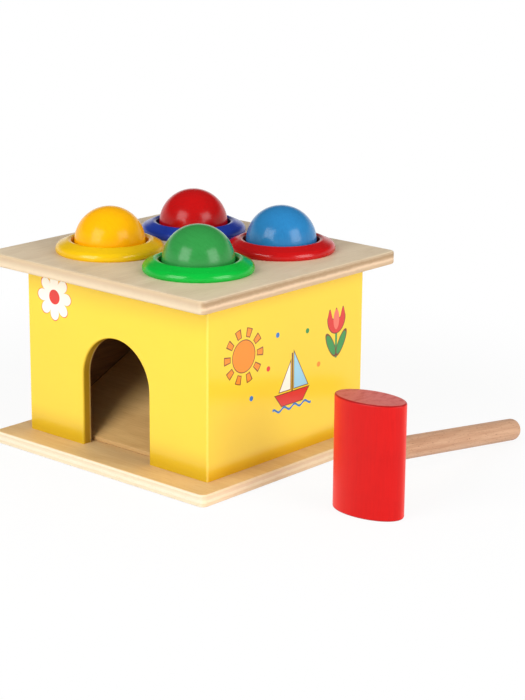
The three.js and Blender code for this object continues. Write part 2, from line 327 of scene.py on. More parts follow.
# Plywood: noise stretched along the face's grain gives figure and fibres, a cut noise gives pores, and on the
# edges depth picks the ply, pale where its fibres run along the edge, dark and speckled where they end in it
plyLook = {
    "shine": 0.4,
    "figure": 0.11,
    "fibre": 1.5,
    "pore": 3.0,
    "alongGrain": 0.05,
    "gloss": 0.5,
}


# plies lists (share of the thickness, tone where the ply's fibres run along x, tone where they run along y)
def plyFinish(name, grain, pale, dark, plies, top, thickness):
    material, wire, shader = startFinish(name, Specular_IOR_Level=plyLook["shine"])
    run = [plyLook["alongGrain"] if k == grain else 1 for k in range(3)]
    figure = wire.noise(wire.coords([plyLook["figure"] * k ** 0.6 for k in run]), 3, 0.55, 0.6)
    fibre = wire.noise(wire.coords([plyLook["fibre"] * k for k in run]), 5, 0.6)
    pore = wire.noise(wire.coords([plyLook["pore"] * k for k in run]), 1).rise(0.62, 0.72)
    cloud = wire.noise(wire.coords((0.02, 0.02, 0.02)), 2)
    tone = figure * 0.5 + fibre * 0.35 + cloud * 0.3 - 0.08
    face = wire.blend(pale, dark, tone.rise(0.25, 0.8))
    face = wire.blend(face, dark, pore * 0.4)
    depth = (top / mm - wire.part(wire.coords(), 2)) / (thickness / mm)
    wander = wire.noise(wire.coords((0.07, 0.07, 0.4)), 3) - 0.5
    ragged = wire.noise(wire.coords((0.4, 0.4, 0.8)), 3) - 0.5
    depth = depth + wander * 0.1 + ragged * 0.12
    normal = wire.add("TexCoord", out="Normal")
    faceX = wire.part(normal, 0).size().rise(0.4, 0.8)
    onX = wire.add("ValToRGB", {"stops": [(at, tint(*x)) for at, x, y in plies]}, {"Fac": depth})
    onY = wire.add("ValToRGB", {"stops": [(at, tint(*y)) for at, x, y in plies]}, {"Fac": depth})
    layer = wire.blend(onY, onX, faceX)
    streak = wire.noise(wire.coords((0.3, 0.3, 3)), 4, 0.65)
    speckle = wire.noise(wire.coords((1.3, 1.3, 2.2)), 3, 0.6).rise(0.5, 0.75)
    edge = wire.blend(layer, dark, streak.rise(0.45, 0.9) * 0.35 + speckle * 0.2)
    upright = wire.part(normal, 2).size().rise(0.55, 0.95)
    colour = wire.blend(edge, face, upright)
    gloss = plyLook["gloss"] + (fibre - 0.5) * 0.25 + pore * 0.1
    height = fibre * 0.6 + streak * 0.3 - pore - speckle * 0.3
    joinShader(wire, shader, colour, gloss, height, 0.06, 0.5)
    return material


# Gloss paint on plywood: faint grain and orange peel; painted shade and a painted reflection of the base
# board darken the foot, which is given as (tone, height in mm), and a painted highlight lies along the outer
# arris
wallPaint = {
    "shine": 0.6,
    "yellow": tint(248, 210, 52),
    "deep": tint(243, 198, 36),
    # Painted shade and reflection of the base board at the walls' foot, as (tone, height in mm)
    "frontFootShade": (tint(206, 166, 12), 15),
    "sideFootShade": (tint(224, 168, 4), 9),
    "footShadeShare": 0.9,
    "doorSide": tint(180, 136, 8),
    "doorWorn": tint(228, 200, 120),
    # Painted highlight on the outer corner arris
    "arrisHighlight": tint(255, 232, 130),
    # Bare wood inside the box, darker than the other birch with painted shade
    "bareWoodShaded": tint(150, 104, 62),
    "bareDarkShaded": tint(122, 80, 46),
    "gloss": 0.17,
}


# The board faces along axis, to outward's side; at its inner plane it is bare
def wallFinish(name, node, axis, outward, prints=None):
    material, wire, shader = startFinish(name, Specular_IOR_Level=wallPaint["shine"])
    low, high = (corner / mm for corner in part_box(node))
    plane = (low if outward > 0 else high)[axis]
    place = wire.coords()
    x, y, z = (wire.part(place, k) for k in range(3))
    across = (x, y)[axis]
    grain = wire.noise(wire.coords((0.06, 0.06, 0.9)), 4, 0.6)
    peel = wire.noise(wire.coords((0.9, 0.9, 0.9)), 2)
    cloud = wire.noise(wire.coords((0.03, 0.03, 0.05)), 3)
    colour = wire.blend(wallPaint["yellow"], wallPaint["deep"], (cloud - 0.35) * 0.3 + (grain - 0.5) * 0.1)
    # Painted shade and reflection of the base board: the paint darkens towards the foot
    lift = z - low.z + (cloud - 0.5) * 3
    frontShadeTone, frontShadeHeight = wallPaint["frontFootShade"]
    sideShadeTone, sideShadeHeight = wallPaint["sideFootShade"]
    frontShadedSkin = wire.blend(colour, frontShadeTone, lift.rise(frontShadeHeight, 0) * wallPaint["footShadeShare"])
    colour = wire.blend(colour, sideShadeTone, lift.rise(sideShadeHeight, 0) * wallPaint["footShadeShare"])
    if axis == 1:
        colour = wire.blend(colour, frontShadedSkin, (high.x - x.size()).rise(0, 0.9))
        fromFace = (high.y - low.y) - (across - plane).size()
        arris = (x - low.x).least(high.x - x).most(fromFace)
        # Painted highlight along the outer corner arrises
        arrisHighlight = (arris + (peel - 0.5) * 0.6).rise(1.1, 0.3)
        colour = wire.blend(colour, wallPaint["arrisHighlight"], arrisHighlight * 0.3)
    if prints:
        colour = prints(wire, place, colour)
    # Bare wood on the inner faces: the wood's own colour, darkened with painted shade of the closed box
    bareShadedTone = wire.blend(wallPaint["bareWoodShaded"], wallPaint["bareDarkShaded"], grain.rise(0.25, 0.8))
    bare = ((across - plane) * -outward + (peel - 0.5) * 0.3).rise(-0.55, -0.2)
    if axis == 1:
        bare = bare * (high.x - x.size()).rise(5.2, 5.8)
    colour = wire.blend(colour, bareShadedTone, bare)
    gloss = wallPaint["gloss"] + (peel - 0.5) * 0.08 + (cloud - 0.5) * 0.06 + bare * 0.45
    height = grain * 0.3 + peel * 0.4
    joinShader(wire, shader, colour, gloss, height, 0.04, 0.35)
    return material


# Prints: flat shapes on a wall in millimetres, each given as the distance to its outline, below 0 inside

printLook = {
    "soft": 0.12,
    "line": 0.4,
    "ink": tint(112, 52, 30),
    "white": tint(252, 246, 230),
    "red": tint(220, 50, 40),
    "rose": tint(238, 116, 96),
    "orange": tint(244, 142, 30),
    "blue": tint(48, 120, 190),
    "sky": tint(156, 208, 232),
    "green": tint(58, 146, 70),
    "daisy": (-38, 71),
    "sun": (-29, 57),
    "boat": (3, 39),
    "tulip": (33, 56),
    "dots": [(-13, 48, "red"), (-7, 62, "blue"), (13, 60, "green"), (21, 43, "orange"), (-24, 37, "blue")],
}


# Fills a shape, inside a thin inked line where one is given
def stamp(wire, under, shape, colour, line=None):
    soft = printLook["soft"]
    if line:
        under = wire.blend(under, printLook[line], (shape - printLook["line"]).rise(soft, -soft))
    return wire.blend(under, printLook[colour], shape.rise(soft, -soft))


# Distance and angle from a shape's middle
def polar(wire, a, b):
    return wire.maths("SQRT", a * a + b * b), wire.maths("ARCTAN2", b, a)


# Oval: the point's distance in units of the half axes, less one
def oval(wire, a, b, wide, tall):
    radius, angle = polar(wire, a / wide, b / tall)
    return (radius - 1) * min(wide, tall)


# Half plane: signed distance from a line through (atA, atB) and (toA, toB), below 0 on its left
def leftOf(a, b, atA, atB, toA, toB):
    length = math.hypot(toA - atA, toB - atB)
    return (a - atA) * ((toB - atB) / length) - (b - atB) * ((toA - atA) / length)


# Daisy: the radius swells with the root of the cosine of four times the angle, its sign left out
def daisyPrint(wire, place, skin):
    a = wire.part(place, 0) - printLook["daisy"][0]
    b = wire.part(place, 2) - printLook["daisy"][1]
    radius, angle = polar(wire, a, b)
    swell = wire.maths("POWER", wire.maths("COSINE", angle * 4).size(), 0.5)
    petals = radius - swell * 4.6 - 6
    skin = stamp(wire, skin, petals, "white", "red")
    return stamp(wire, skin, radius - 3.4, "red")


# Front wall: the daisy, and the door's sides, which are darker and worn pale along the inner edge
def frontPrints(wire, place, skin):
    depth = wire.part(place, 1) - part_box("front_wall")[0].y / mm
    inDoor = (wire.part(place, 0).size() - wallShape["doorHalf"] / mm).rise(1.6, 0.8)
    skin = wire.blend(skin, wallPaint["doorSide"], depth.rise(0.7, 1.4) * inDoor * 0.85)
    skin = wire.blend(skin, wallPaint["doorWorn"], depth.rise(3.8, 4.2) * inDoor * 0.6)
    return daisyPrint(wire, place, skin)


# Sun: a disc in a ring of wedges
def sunPrint(wire, a, b, skin):
    radius, angle = polar(wire, a, b)
    wedges = (0.45 - wire.maths("COSINE", angle * 10)) * 0.9
    skin = stamp(wire, skin, wedges.most(8.8 - radius).most(radius - 12.2), "orange", "ink")
    return stamp(wire, skin, radius - 7, "orange", "ink")


# Sailing boat: a hull and two sails, each cut by straight lines, over a wavy line
def boatPrint(wire, a, b, skin):
    wave = (b + 11.6 - wire.maths("SINE", a * 0.9) * 0.8).size() - 0.55
    skin = stamp(wire, skin, wave.most(a.size() - 13), "blue")
    skin = stamp(wire, skin, (a.size() - 0.45).most((b - 4).size() - 9), "ink")
    hull = (b + 7.4).size() - 2.6
    hull = hull.most((a.size() - b * 0.8 - 15) / 1.28)
    skin = stamp(wire, skin, hull, "red", "ink")
    mainSail = leftOf(a, b, 10.5, -3.4, 1.2, 13).most(1.2 - a).most(-3.4 - b)
    skin = stamp(wire, skin, mainSail, "sky", "ink")
    foreSail = leftOf(a, b, -1.2, 9, -8.5, -3.4).most(a + 1.2).most(-3.4 - b)
    return stamp(wire, skin, foreSail, "white", "ink")


# Tulip: a cup cut by a wave, on a stem with two leaves
def tulipPrint(wire, a, b, skin):
    skin = stamp(wire, skin, (a.size() - 0.7).most((b + 5).size() - 7.5), "green")
    wide = a.size() - 3.6
    leaf = oval(wire, wide * 0.87 - (b + 6) * 0.5, wide * 0.5 + (b + 6) * 0.87, 1.9, 5.6)
    skin = stamp(wire, skin, leaf, "green", "ink")
    tips = b - 8 - wire.maths("COSINE", a * 1.37) * 2.4
    skin = stamp(wire, skin, oval(wire, a, b - 6, 6, 6.8).most(tips), "red", "ink")
    return stamp(wire, skin, oval(wire, a, b - 5.4, 2, 4.6), "rose")


# Right wall: three motifs in a V with dots between
def toyPrints(wire, place, skin):
    y = wire.part(place, 1)
    z = wire.part(place, 2)
    for motif, at in ((sunPrint, "sun"), (boatPrint, "boat"), (tulipPrint, "tulip")):
        skin = motif(wire, y - printLook[at][0], z - printLook[at][1], skin)
    for atY, atZ, colour in printLook["dots"]:
        radius, angle = polar(wire, y - atY, z - atZ)
        skin = stamp(wire, skin, radius - 1.2, colour)
    return skin


# Moulded plastic: faint flow marks and fine scuffs change colour and gloss a little; inside the mouth, given
# by its centre and radius, the skin is darker with painted shade, and dull from the balls
plasticLook = {
    "shine": 0.32,
    "collarGloss": 0.2,
    "gripGloss": 0.45,
    "innerDull": 0.35,
}


def plasticFinish(name, colour, shade, gloss, centre, mouth):
    material, wire, shader = startFinish(name, Specular_IOR_Level=plasticLook["shine"])
    about = wire.coords(about=centre)
    radius, angle = polar(wire, wire.part(about, 0), wire.part(about, 1))
    mouthShadeAndDull = radius.rise(mouth / mm + 0.4, mouth / mm - 0.5)
    flow = wire.noise(wire.coords((0.06, 0.06, 0.25)), 3, 0.5, 1.5)
    scuff = wire.noise(wire.coords((2.2, 0.35, 2.2), turn=(0.3, 0.2, 0.7)), 3, 0.7).rise(0.58, 0.8)
    # Painted shade inside the mouth: the skin darkens there, and its roughness rises
    skin = wire.blend(colour, shade, (flow.rise(0.35, 0.85) * 0.5).most(mouthShadeAndDull))
    rough = gloss + scuff * 0.18 + (flow - 0.5) * 0.08 + mouthShadeAndDull * plasticLook["innerDull"]
    fine = wire.noise(wire.coords((1.4, 1.4, 1.4)), 2)
    joinShader(wire, shader, skin, rough, fine * 0.5 + scuff * 0.3, 0.03, 0.3)
    return material


# Paint on turned wood: grain lines stand through it, with tiny specks and soft dull patches. ends is (end,
# rim, sheen): a painted reflection of the bright room on the flat ends, a darker rim, a painted sheen on what
# turns away
def turnedPaint(name, colour, shade, centre, grainTurn, gloss, shine, ends=None):
    material, wire, shader = startFinish(name, Specular_IOR_Level=shine)
    grain = wire.noise(wire.coords((1.3, 1.3, 0.09), centre, grainTurn), 4, 0.6, 0.3)
    patch = wire.noise(wire.coords((0.1, 0.1, 0.1), centre), 3)
    speck = wire.noise(wire.coords((2.6, 2.6, 1.2), centre, grainTurn), 1).rise(0.7, 0.78)
    skin = wire.blend(colour, shade, grain.rise(0.35, 0.8) * 0.35 + patch.rise(0.4, 0.8) * 0.25 + speck * 0.4)
    if ends:
        end, rim, paintedSheen = ends
        up = wire.part(wire.add("TexCoord", out="Normal"), 2).size()
        reflectionMottle = wire.noise(wire.coords((0.5, 0.25, 0.5), centre), 4, 0.65)
        # Painted sheen: the colour turns paler where the surface turns away from the view
        side = wire.add("LayerWeight", {}, {"Blend": 0.5}, "Facing")
        skin = wire.blend(skin, paintedSheen, side.rise(0.15, 0.75) * 0.8)
        skin = wire.blend(skin, rim, up.rise(0.25, 0.6) * 0.7)
        # Painted reflection of the bright room on the flat ends, mottled by noise
        skin = wire.blend(skin, end, up.rise(0.9, 0.99) * reflectionMottle.rise(0.1, 0.6))
    rough = gloss + (grain - 0.5) * 0.14 + patch * 0.06 + speck * 0.15
    joinShader(wire, shader, skin, rough, grain - speck * 0.5, 0.06, 0.4)
    return material


# Board pieces

boardShape = {
    "lidEase": 1 * mm,
    "baseEase": 0.7 * mm,
    "corner": 3 * mm,
    "arcSteps": 10,
    "sideSteps": 24,
    "rows": 7,
}

# A board's face takes a pale and a dark tone; its plies are listed from the top down
lidTones = (tint(232, 213, 182), tint(207, 184, 151))
baseTones = (tint(236, 202, 145), tint(212, 170, 112))
rampTones = (tint(226, 186, 122), tint(196, 150, 90))
lidPlies = [
    (0.00, (200, 176, 144), (210, 184, 146)),
    (0.12, (192, 165, 134), (212, 186, 150)),
    (0.22, (170, 140, 104), (206, 180, 146)),
    (0.34, (172, 141, 105), (206, 180, 148)),
    (0.42, (187, 156, 122), (210, 186, 154)),
    (0.49, (210, 178, 144), (213, 191, 159)),
    (0.56, (230, 200, 166), (218, 197, 166)),
    (0.64, (228, 198, 164), (223, 202, 171)),
    (0.73, (211, 180, 146), (228, 207, 176)),
    (0.81, (204, 173, 138), (227, 205, 174)),
    (0.95, (211, 181, 140), (222, 197, 160)),
    (1.00, (226, 196, 144), (216, 190, 146)),
]
# Ramp edges darken a little towards the bottom over the ramp's shade height: painted shade
rampPlies = [
    (0.00, (206, 166, 112), (212, 174, 120)),
    (1.00, (196, 154, 100), (204, 166, 110)),
]
basePlies = [
    (0.00, (244, 220, 182), (238, 226, 200)),
    (0.18, (240, 214, 174), (238, 228, 202)),
    (0.24, (234, 204, 168), (230, 212, 180)),
    (0.42, (238, 210, 174), (236, 222, 194)),
    (0.50, (248, 228, 196), (240, 230, 206)),
    (0.66, (246, 224, 190), (240, 228, 204)),
    (0.74, (236, 206, 166), (232, 214, 180)),
    (1.00, (244, 220, 184), (240, 228, 202)),
]


# Rounded rectangle as one loop of points: a quarter arc about each corner's centre
def roundedBoard(low, high, corner, steps):
    angle = np.linspace(0, np.pi / 2, steps + 1) + np.arange(4)[:, None] * np.pi / 2
    x = np.array([high.x - corner, low.x + corner, low.x + corner, high.x - corner])[:, None]
    y = np.array([high.y - corner, high.y - corner, low.y + corner, low.y + corner])[:, None]
    return np.stack([x + corner * np.cos(angle), y + corner * np.sin(angle)], -1).reshape(-1, 2)


# Lid: in each quarter the sheet is ruled along rays from a hole's circle out to the quarter's edge
def makeLid(holeRadius, finish):
    low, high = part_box("top_board")
    corner = boardShape["corner"]
    hole = middleOf("ball_front_right").x
    steps = boardShape["sideSteps"]
    arc = np.linspace(0, np.pi / 2, boardShape["arcSteps"] + 1)
    turn = np.stack([np.cos(arc), np.sin(arc)], -1)
    wide = high.x
    grids = []
    for sx in (-1, 1):
        for sy, deep in ((-1, -low.y), (1, high.y)):
            bend = np.array([wide, deep]) - corner + corner * turn
            into = splitRuns([(0, 0), (wide, 0), (wide, deep - corner)], steps)
            back = splitRuns([(wide - corner, deep), (0, deep), (0, 0)], steps)
            rim = np.concatenate([into, bend[:-1], back])
            spoke = rim - hole
            circle = hole + holeRadius * spoke / np.linalg.norm(spoke, axis=1, keepdims=True)
            place = lambda a, b: np.stack([sx * a, sy * b, high.z + 0 * a], -1)
            grids.append((ruledSheet(circle, rim, boardShape["rows"], place), False, True))
    lid = makePiece("lid", grids, Vector((0, 0, 1)))
    thicken(lid, 2, high.z, low.z, boardShape["lidEase"], boardShape["lidEase"])
    settle(lid, "frame", "lid_birch", finish, "top_board")


# Base: rings of the rounded rectangle from its middle outwards
def makeBase(cutters, finish):
    low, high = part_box("base_board")
    rim = roundedBoard(low, high, boardShape["corner"], boardShape["arcSteps"])
    place = lambda a, b: np.stack([a, b, high.z + 0 * a], -1)
    sheet = ruledSheet(0 * rim, rim, boardShape["rows"], place)
    base = makePiece("base", [(sheet, False, True)], Vector((0, 0, 1)))
    thicken(base, 2, high.z, low.z, boardShape["baseEase"], boardShape["baseEase"], cutters)
    settle(base, "frame", "base_birch", finish, "base_board")


# Walls

wallShape = {
    "ease": 0.9 * mm,
    "jointEase": 0.02 * mm,
    "doorHalf": 20.6 * mm,
    "doorSpring": 32.2 * mm,
    "archSteps": 28,
    "rows": 6,
}


# Front wall: ruled from the door's outline, two straight sides and a half circle, out to the wall's outline
def makeFrontWall(cutters, finish):
    low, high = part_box("front_wall")
    half = high.x
    tall = high.z - low.z
    door = wallShape["doorHalf"]
    spring = wallShape["doorSpring"]
    steps = wallShape["archSteps"]
    toCorner = np.arctan2(tall - spring, half)
    turns = [np.pi, np.pi - toCorner, toCorner, 0]
    fans = [np.linspace(a, b, steps, endpoint=False) for a, b in zip(turns, turns[1:])]
    angle = np.concatenate(fans + [[0]])
    least = 1e-9  # keeps the two divisions finite
    toSide = half / np.maximum(np.abs(np.cos(angle)), least)
    toTop = (tall - spring) / np.maximum(np.sin(angle), least)
    reach = np.minimum(toSide, toTop)
    ray = np.stack([np.cos(angle), np.sin(angle)], -1)
    lift = np.array([0, spring])
    foot = np.linspace(0, spring, steps // 2, endpoint=False)
    leftDoor = np.stack([-door + 0 * foot, foot], -1)
    leftRim = np.stack([-half + 0 * foot, foot], -1)
    flip = np.array([-1, 1])
    doorLine = np.concatenate([leftDoor, lift + door * ray, flip * leftDoor[::-1]])
    rimLine = np.concatenate([leftRim, lift + reach[:, None] * ray, flip * leftRim[::-1]])
    place = lambda a, b: np.stack([a, low.y + 0 * a, low.z + b], -1)
    sheet = ruledSheet(doorLine, rimLine, wallShape["rows"], place)
    wall = makePiece("frontWall", [(sheet, False, False)], Vector((0, -1, 0)))
    thicken(wall, 1, low.y, high.y, wallShape["ease"], wallShape["jointEase"], cutters)
    settle(wall, "frame", "yellow_paint", finish, "front_wall")


# Plain wall: an even grid over its outer face; axis is the way it faces. The side walls' edges butt on the
# front and back walls, so they stay nearly square
def makePlainWall(name, node, axis, sign, cutters, finish):
    low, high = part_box(node)
    ease = wallShape["jointEase"] if axis == 0 else wallShape["ease"]
    other = 1 - axis
    across = np.linspace(low[other], high[other], 2 * wallShape["rows"])
    up = np.linspace(low.z, high.z, 2 * wallShape["rows"])
    a, z = np.meshgrid(across, up, indexing="ij")
    face = (high if sign > 0 else low)[axis]
    back = (low if sign > 0 else high)[axis]
    outer = face + 0 * a
    sheet = np.stack([outer, a, z] if axis == 0 else [a, outer, z], -1)
    facing = Vector((sign, 0, 0) if axis == 0 else (0, sign, 0))
    wall = makePiece(name, [(sheet, False, False)], facing)
    thicken(wall, axis, face, back, ease, wallShape["jointEase"], cutters)
    settle(wall, "frame", "yellow_paint", finish, node)


# Ramp and its ledger

rampShape = {
    "slope": math.radians(25),
    "thickness": 2 * mm,
    "ease": 0.3 * mm,
    "shadeHeight": 60 * mm,
    "rows": 12,
}


# A closed section of (y, z) points carried along x between a node's two ends
def barAlongX(name, node, section):
    low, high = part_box(node)
    x = np.linspace(low.x, high.x, rampShape["rows"])[:, None]
    loop = roundCorners(section, rampShape["ease"], 4)
    rows = np.stack(np.broadcast_arrays(x, loop[:, 0], loop[:, 1]), -1)
    bar = makePiece(name, [(shutEnds(rows), False, True)])
    cutOut(bar)
    return bar


# Ramp: a leaning section; upright, its thickness is divided by the cosine of its slope
def makeRamp(finish):
    low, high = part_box("ramp_board")
    rise = rampShape["thickness"] / math.cos(rampShape["slope"])
    section = [(low.y, low.z), (high.y, high.z - rise), (high.y, high.z), (low.y, low.z + rise)]
    ramp = barAlongX("ramp", "ramp_board", section)
    settle(ramp, "frame", "ramp_birch", finish, "ramp_board")


# Ledger: its top follows the ramp, so it drops by its depth times the slope's tangent
def makeLedger(finish):
    low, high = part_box("ramp_ledger")
    drop = (high.y - low.y) * math.tan(rampShape["slope"])
    section = [(low.y, low.z), (high.y, low.z), (high.y, high.z), (low.y, high.z - drop)]
    ledger = barAlongX("rampLedger", "ramp_ledger", section)
    settle(ledger, "frame", "ramp_birch", finish, "ramp_ledger")


# Brads

bradShape = {
    "headRadius": 1.5 * mm,
    "headThickness": 0.8 * mm,
    "shankRadius": 0.7 * mm,
    "point": 2 * mm,
    "gap": 0.3 * mm,
    "round": 0.25 * mm,
    "steps": 32,
    "boreStart": -2 * mm,
    "count": 8,
}


# Head, shank and point turned from one profile
def makeBrad(number, finish):
    node = f"base_brad_{number}"
    low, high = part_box(node)
    head = bradShape["headRadius"]
    shank = bradShape["shankRadius"]
    headTop = bradShape["headThickness"]
    tip = high.z - low.z
    line = [(0, 0), (head, 0), (head, headTop), (shank, headTop), (shank, tip - bradShape["point"]), (0, tip)]
    soft = bradShape["round"]
    profile = roundCorners(line, [0, soft, soft, soft, soft, 0], 4, False)
    centre = middleOf(node)
    grid = turnProfile(profile, (centre.x, centre.y, low.z), bradShape["steps"])
    brad = makePiece(f"brad{number}", [(grid, False, True)])
    settle(brad, "frame", "brad_steel", finish, node)


# The brads' line without its point, grown by a gap, as cutters for the boards
def makeBradBores():
    grids = []
    gap = bradShape["gap"]
    head = bradShape["headRadius"] + gap
    shank = bradShape["shankRadius"] + gap
    under = bradShape["boreStart"]
    for number in range(1, bradShape["count"] + 1):
        low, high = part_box(f"base_brad_{number}")
        centre = middleOf(f"base_brad_{number}")
        headTop = low.z + bradShape["headThickness"] + gap
        over = high.z + gap
        line = [(0, under), (head, under), (head, headTop), (shank, headTop), (shank, over), (0, over)]
        grids.append((turnProfile(np.array(line), (centre.x, centre.y, 0), bradShape["steps"]), False, True))
    return makePiece("bradBores", grids)


# Collars, with heights from the lid's top

collarShape = {
    "boreGap": 0.5 * mm,
    "gripWall": 0.9 * mm,
    "seatGap": 0.3 * mm,
    "sleeveWall": 1.2 * mm,
    "gripDepth": 3 * mm,
    "edgeHeight": 0.8 * mm,
    "shoulderHeight": 3.1 * mm,
    "shoulder": 3 * mm,
    "undercut": 0.4 * mm,
    "mouthFlare": 0.9 * mm,
    "crownOut": 1.6 * mm,
    "crownRound": 2.2 * mm,
    "mouthDrop": 0.4 * mm,
    "mouthRound": 0.8 * mm,
    "boreRound": 1.2 * mm,
    "seatRound": 0.2 * mm,
    "sleeveRound": 0.3 * mm,
    "footRound": 0.1 * mm,
    "edgeRound": 0.2 * mm,
    "steps": 144,
}


# Rows of (radius, height, rounding): sleeve, flange, upright edge, slope to the crown, funnel to the bore
def collarProfile(ballRadius, flange, crown, bottom):
    bore = ballRadius + collarShape["boreGap"]
    seat = bore + collarShape["gripWall"] + collarShape["seatGap"]
    sleeve = seat + collarShape["sleeveWall"]
    mouth = bore + collarShape["mouthFlare"]
    ridge = mouth + collarShape["crownOut"]
    deep = -collarShape["gripDepth"]
    foot = flange - collarShape["undercut"]
    lip = crown - collarShape["mouthDrop"]
    line = [
        (bore, deep, 0),
        (seat, deep, 0),
        (seat, bottom, collarShape["seatRound"]),
        (sleeve, bottom, collarShape["sleeveRound"]),
        (sleeve, 0, 0),
        (foot, 0, collarShape["footRound"]),
        (flange, collarShape["edgeHeight"], collarShape["edgeRound"]),
        (flange, collarShape["shoulderHeight"], collarShape["shoulder"]),
        (ridge, crown, collarShape["crownRound"]),
        (mouth, lip, collarShape["mouthRound"]),
        (bore, 0, collarShape["boreRound"]),
    ]
    line = np.array(line)
    return roundCorners(line[:, :2], line[:, 2], 8)


# The closed profile turned about the ball's line
def makeCollar(place, finish):
    node = f"collar_{place}"
    low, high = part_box(node)
    centre = middleOf(node)
    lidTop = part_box("top_board")[1].z
    ballRadius = sizeOf(f"ball_{place}").z / 2
    profile = collarProfile(ballRadius, high.x - centre.x, high.z - lidTop, low.z - lidTop)
    grid = turnProfile(profile, (centre.x, centre.y, lidTop), collarShape["steps"])
    collar = makePiece(f"collar.{place}", [(grid, True, True)])
    cutOut(collar)
    settle(collar, "frame", collarColours[place][0], finish, node)


# Grip rings

gripShape = {
    "tongues": 8,
    "slit": 0.8 * mm,
    "thickness": 1.2 * mm,
    "ballGap": 0.3 * mm,
    "round": 0.3 * mm,
    "rimRound": 0.2 * mm,
    "sink": 0.05 * mm,
    "tongueSteps": 14,
    "rimSteps": 96,
}


# A turned rim with tongues, each an arc of a rounded section shut at both ends; they reach to the ball's skin
def makeGrip(place, finish):
    node = f"grip_ring_{place}"
    low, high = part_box(node)
    centre = middleOf(node)
    outer = high.x - centre.x
    inner = outer - collarShape["gripWall"]
    ball = middleOf(f"ball_{place}")
    reach = sizeOf(f"ball_{place}").z / 2 + gripShape["ballGap"]
    tip = math.sqrt(reach ** 2 - (ball.z - high.z) ** 2)
    thick = gripShape["thickness"]
    rim = [(inner, low.z), (outer, low.z), (outer, high.z), (inner, high.z)]
    rim = roundCorners(rim, gripShape["rimRound"], 4)
    grids = [(turnProfile(rim, (centre.x, centre.y, 0), gripShape["rimSteps"]), True, True)]
    root = inner + collarShape["gripWall"] / 2
    over = high.z - gripShape["sink"]
    under = high.z - thick
    section = [(tip, under), (root, under), (root, over), (tip, over)]
    section = roundCorners(section, gripShape["round"], 4)
    span = 2 * np.pi / gripShape["tongues"]
    for k in range(gripShape["tongues"]):
        edge = gripShape["slit"] / 2 / inner
        angle = np.linspace(k * span + edge, (k + 1) * span - edge, gripShape["tongueSteps"])[:, None]
        r = section[:, 0]
        z = section[:, 1] + 0 * angle
        rows = np.stack([centre.x + r * np.cos(angle), centre.y + r * np.sin(angle), z], -1)
        grids.append((shutEnds(rows), False, True))
    grip = makePiece(f"grip.{place}", grids)
    cutOut(grip)
    settle(grip, "frame", collarColours[place][1], finish, node)


# Balls

ballShape = {
    "gloss": 0.17,
    "around": 112,
    "down": 72,
    "flatter": 0.003,
    "lean": {"front_left": 0.9, "back_left": 2.2, "back_right": 0.2, "front_right": 1.4},
}


# A sphere by latitude and longitude, flatter by a share of the squared cosine from its turning line
def makeBall(place, slot, finish):
    node = f"ball_{place}"
    centre = middleOf(node)
    radius = sizeOf(node).z / 2
    down = np.linspace(0, np.pi, ballShape["down"])[:, None]
    around = np.linspace(0, 2 * np.pi, ballShape["around"], endpoint=False)
    ray = [np.sin(down) * np.cos(around), np.sin(down) * np.sin(around), np.cos(down) + 0 * around]
    ray = np.stack(ray, -1)
    lean = ballShape["lean"][place]
    line = np.array([math.sin(lean), 0, math.cos(lean)])
    size = radius * (1 - ballShape["flatter"] * (ray @ line) ** 2)
    grid = ray * size[..., None] + np.array(centre)
    ball = makePiece(f"ball.{place}", [(grid, False, True)])
    settle(ball, node, slot, finish, node)


# Mallet

malletShape = {
    "halfWidth": 16.8 * mm,
    "halfDepth": 9.5 * mm,
    "turn": math.radians(5.4),
    "ease": 0.9 * mm,
    "handleRadius": 5 * mm,
    "handleReach": 121.5 * mm,
    "handleDome": 3 * mm,
    "handleHeight": 25.6 * mm,
    "handleStop": 4 * mm,
    "handleChamfer": 0.4 * mm,
    "handleSwell": 0.006,
    "handleWave": 23 * mm,
    "endRing": 0.6 * mm,
    "boreReach": 30 * mm,
    "floorGap": 0.3 * mm,
    "gap": 0.3 * mm,
    "around": 128,
    "easeSteps": 6,
    "handleSteps": 72,
}
malletLook = {
    "head": (tint(206, 13, 10), tint(186, 8, 8)),
    # ends: painted reflection on the flat ends, darker rim on the rounded edges, painted sheen on the sides
    "ends": (tint(206, 106, 100), tint(140, 14, 16), tint(232, 58, 46)),
    "gloss": 0.36,
    "shine": 0.22,
    "beech": (tint(210, 166, 132), tint(184, 136, 102), tint(140, 92, 62)),
    "beechGloss": 0.52,
    "beechShine": 0.35,
}


# The handle's line: from a point on the head's middle line, down to where its end meets the floor
def handleLine():
    reach = malletShape["handleReach"]
    radius = malletShape["handleRadius"]
    drop = malletShape["handleHeight"] - malletShape["floorGap"]
    slope = math.asin(drop / math.hypot(reach, radius)) - math.atan2(radius, reach)
    turn = malletShape["turn"]
    along = Vector((-math.sin(turn) * math.cos(slope), math.cos(turn) * math.cos(slope), -math.sin(slope)))
    side = Vector((math.cos(turn), math.sin(turn), 0))
    head = middleOf("mallet_head")
    start = Vector((head.x, head.y, malletShape["handleHeight"]))
    return start, side, along.cross(side), along, slope


# A profile of (radius, distance) turned about the handle's line
def turnHandle(profile, steps):
    start, side, up, along, slope = handleLine()
    angle = np.linspace(0, 2 * np.pi, steps, endpoint=False)[:, None]
    ring = np.cos(angle) * np.array(side) + np.sin(angle) * np.array(up)
    return np.array(start) + profile[:, 0, None, None] * ring + profile[:, 1, None, None] * np.array(along)


# How far the handle goes into the head past its middle: the half depth less the stop, along the slope
def handleDepth():
    slope = handleLine()[4]
    return (malletShape["halfDepth"] - malletShape["handleStop"]) / math.cos(slope)


